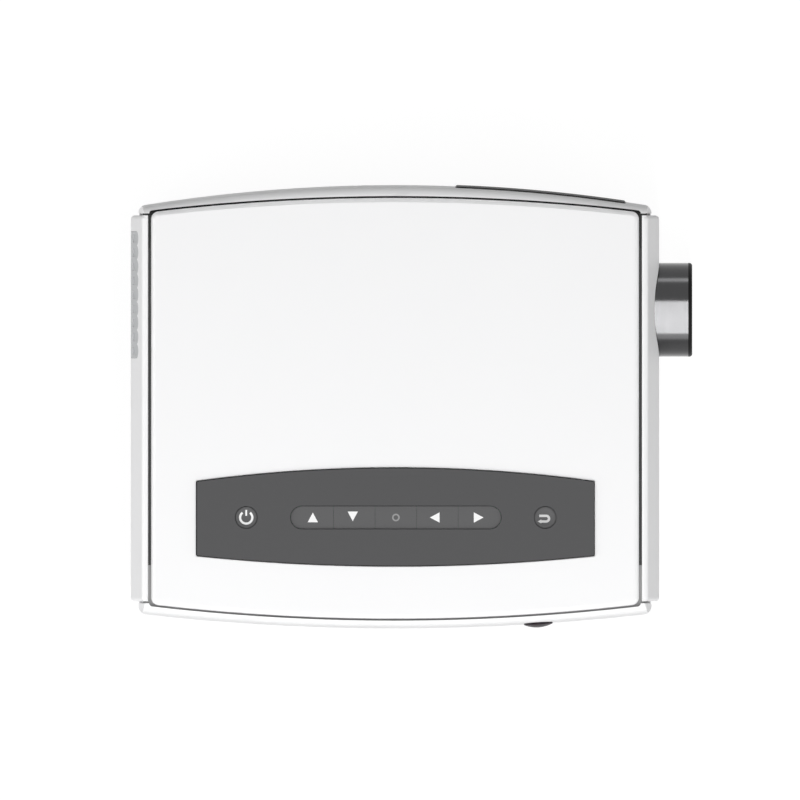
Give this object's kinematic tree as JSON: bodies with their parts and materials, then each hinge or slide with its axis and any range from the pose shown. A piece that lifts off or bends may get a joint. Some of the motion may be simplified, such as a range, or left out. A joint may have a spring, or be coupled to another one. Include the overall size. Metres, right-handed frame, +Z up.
{
  "type": "home projector with disc drive",
  "caption": "Low white bowed-sided home projector with a dark key panel on top, a metal focus ring at one end, a grey exhaust grille at the other and a slim disc tray in one long side.",
  "frame": {"origin": "centre of the bounding box on the surface it stands on", "axes": "+X towards the lens, +Y towards the socket side, +Z up; the disc tray slides out along -Y"},
  "size_m": [0.3188, 0.252, 0.1049],
  "materials": {
    "white_shell": "satin white moulded plastic",
    "grey_grille": "satin grey moulded plastic",
    "dark_panel": "matt charcoal plastic",
    "key_plastic": "satin charcoal plastic with pale printed signs",
    "dark_window": "glossy dark infrared-pass plastic",
    "black_plastic": "matt black plastic",
    "ring_metal": "polished turned metal",
    "rim_black": "satin black rim",
    "barrel_black": "matt black anodised",
    "coated_glass": "coated optical glass",
    "optic_sheet": "clear grooved optical sheet",
    "lcd_glass": "liquid-crystal panel with polarisers",
    "mirror_sheet": "bright reflector sheet",
    "lamp_board": "copper-cored lamp plate with a yellow emitter",
    "raw_aluminium": "extruded fins",
    "circuit_board": "green circuit board",
    "socket_metal": "plated socket shells",
    "jack_plastic": "black socket plastic",
    "vga_blue": "blue socket insert in a plated shell",
    "speaker_black": "black basket with a paper cone",
    "drive_steel": "zinc-plated sheet",
    "tray_plastic": "matt dark tray plastic",
    "rail_steel": "drawn steel rail",
    "hub_plastic": "black hub with a steel spindle",
    "foot_rubber": "matt rubber",
    "wheel_plastic": "notched dark plastic",
    "screw_steel": "blackened steel screws",
    "insert_brass": "knurled brass inserts"
  },
  "bodies": {
    "projector_body": {"base_pan": "white_shell", "top_cover": "white_shell", "mid_frame": "dark_panel", "lens_end_panel": "white_shell", "grille_end_panel": "white_shell", "port_side_panel": "white_shell", "tray_side_panel": "white_shell", "control_panel": "dark_panel", "port_plate": "black_plastic", "exhaust_grille": "grey_grille", "ir_window": "dark_window", "ir_receiver": "black_plastic", "key_board": "circuit_board", "lens_mount": "black_plastic", "optics_housing": "black_plastic", "front_fresnel": "optic_sheet", "lcd_panel": "lcd_glass", "rear_fresnel": "optic_sheet", "heat_glass": "optic_sheet", "reflector": "mirror_sheet", "led_module": "lamp_board", "heat_sink": "raw_aluminium", "fan_frame": "black_plastic", "main_board": "circuit_board", "hdmi_sockets": "socket_metal", "usb_sockets": "socket_metal", "vga_socket": "vga_blue", "audio_jacks": "jack_plastic", "psu_board": "circuit_board", "ac_inlet": "jack_plastic", "speakers": "speaker_black", "drive_case": "drive_steel", "drive_cover": "drive_steel", "rubber_feet": "foot_rubber", "case_screws": "screw_steel", "mount_inserts": "insert_brass"},
    "power_key": {"power_key": "key_plastic"},
    "up_key": {"up_key": "key_plastic"},
    "down_key": {"down_key": "key_plastic"},
    "ok_key": {"ok_key": "key_plastic"},
    "left_key": {"left_key": "key_plastic"},
    "right_key": {"right_key": "key_plastic"},
    "return_key": {"return_key": "key_plastic"},
    "focus_ring": {"focus_ring": "ring_metal", "lens_rim": "rim_black"},
    "lens_barrel": {"lens_barrel": "barrel_black", "lens_elements": "coated_glass"},
    "fan_rotor": {"fan_rotor": "black_plastic"},
    "tray_rails": {"tray_rails": "rail_steel"},
    "disc_tray": {"disc_tray": "tray_plastic", "tray_bezel": "white_shell", "drive_motors": "drive_steel", "sled_rods": "rail_steel", "drive_board": "circuit_board"},
    "eject_button": {"eject_button": "grey_grille"},
    "turntable": {"turntable": "hub_plastic"},
    "optical_pickup": {"optical_pickup": "drive_steel"},
    "lead_screw": {"lead_screw": "rail_steel"},
    "foot_wheel": {"foot_wheel": "wheel_plastic"},
    "foot_stem": {"foot_stem": "wheel_plastic"}
  },
  "joints": [
    {"name": "power_press", "type": "slide", "parent": "projector_body", "child": "power_key", "axis": [0, 0, -1], "range_m": [0, 0.0006], "stiffness_N_per_m": 800, "springref_m": -0.001},
    {"name": "up_press", "type": "slide", "parent": "projector_body", "child": "up_key", "axis": [0, 0, -1], "range_m": [0, 0.0006], "stiffness_N_per_m": 800, "springref_m": -0.001},
    {"name": "down_press", "type": "slide", "parent": "projector_body", "child": "down_key", "axis": [0, 0, -1], "range_m": [0, 0.0006], "stiffness_N_per_m": 800, "springref_m": -0.001},
    {"name": "ok_press", "type": "slide", "parent": "projector_body", "child": "ok_key", "axis": [0, 0, -1], "range_m": [0, 0.0006], "stiffness_N_per_m": 800, "springref_m": -0.001},
    {"name": "left_press", "type": "slide", "parent": "projector_body", "child": "left_key", "axis": [0, 0, -1], "range_m": [0, 0.0006], "stiffness_N_per_m": 800, "springref_m": -0.001},
    {"name": "right_press", "type": "slide", "parent": "projector_body", "child": "right_key", "axis": [0, 0, -1], "range_m": [0, 0.0006], "stiffness_N_per_m": 800, "springref_m": -0.001},
    {"name": "return_press", "type": "slide", "parent": "projector_body", "child": "return_key", "axis": [0, 0, -1], "range_m": [0, 0.0006], "stiffness_N_per_m": 800, "springref_m": -0.001},
    {"name": "focus_turn", "type": "hinge", "parent": "projector_body", "child": "focus_ring", "pos_m": [0.1336, 0.05504, 0.06], "axis": [1, 0, 0], "range_deg": [-35, 35]},
    {"name": "focus_slide", "type": "slide", "parent": "projector_body", "child": "lens_barrel", "axis": [1, 0, 0], "range_m": [-0.00154, 0.00154]},
    {"name": "fan_spin", "type": "hinge", "parent": "projector_body", "child": "fan_rotor", "pos_m": [-0.1472, 0.05504, 0.06], "axis": [1, 0, 0], "continuous": true},
    {"name": "tray_slide", "type": "slide", "parent": "projector_body", "child": "disc_tray", "axis": [0, -1, 0], "range_m": [0, 0.1185]},
    {"name": "rail_slide", "type": "slide", "parent": "projector_body", "child": "tray_rails", "axis": [0, -1, 0], "range_m": [0, 0.05935]},
    {"name": "eject_press", "type": "slide", "parent": "disc_tray", "child": "eject_button", "axis": [0, 1, 0], "range_m": [0, 0.0008], "stiffness_N_per_m": 600, "springref_m": -0.001},
    {"name": "disc_spin", "type": "hinge", "parent": "disc_tray", "child": "turntable", "pos_m": [-0.0214, -0.05946, 0.0387], "axis": [0, 0, 1], "continuous": true},
    {"name": "pickup_slide", "type": "slide", "parent": "disc_tray", "child": "optical_pickup", "axis": [0.7071, 0.7071, 0], "range_m": [0, 0.033]},
    {"name": "lead_screw_turn", "type": "hinge", "parent": "disc_tray", "child": "lead_screw", "pos_m": [-0.01963, -0.02729, 0.0339], "axis": [0.7071, 0.7071, 0], "range_deg": [0, 3961]},
    {"name": "foot_slide", "type": "slide", "parent": "projector_body", "child": "foot_stem", "axis": [0, 0, -1], "range_m": [0, 0.02]},
    {"name": "foot_wheel_turn", "type": "hinge", "parent": "projector_body", "child": "foot_wheel", "pos_m": [0.1086, -0.02096, 0.0046], "axis": [0, 0, 1], "range_deg": [0, 1805]}
  ],
  "couplings": [
    {"joint": "focus_slide", "follows": "focus_turn", "m_per_rad": 0.0024555},
    {"joint": "rail_slide", "follows": "tray_slide", "ratio": 0.5},
    {"joint": "lead_screw_turn", "follows": "pickup_slide", "rad_per_m": 2094.4},
    {"joint": "foot_wheel_turn", "follows": "foot_slide", "rad_per_m": 1570.8}
  ]
}
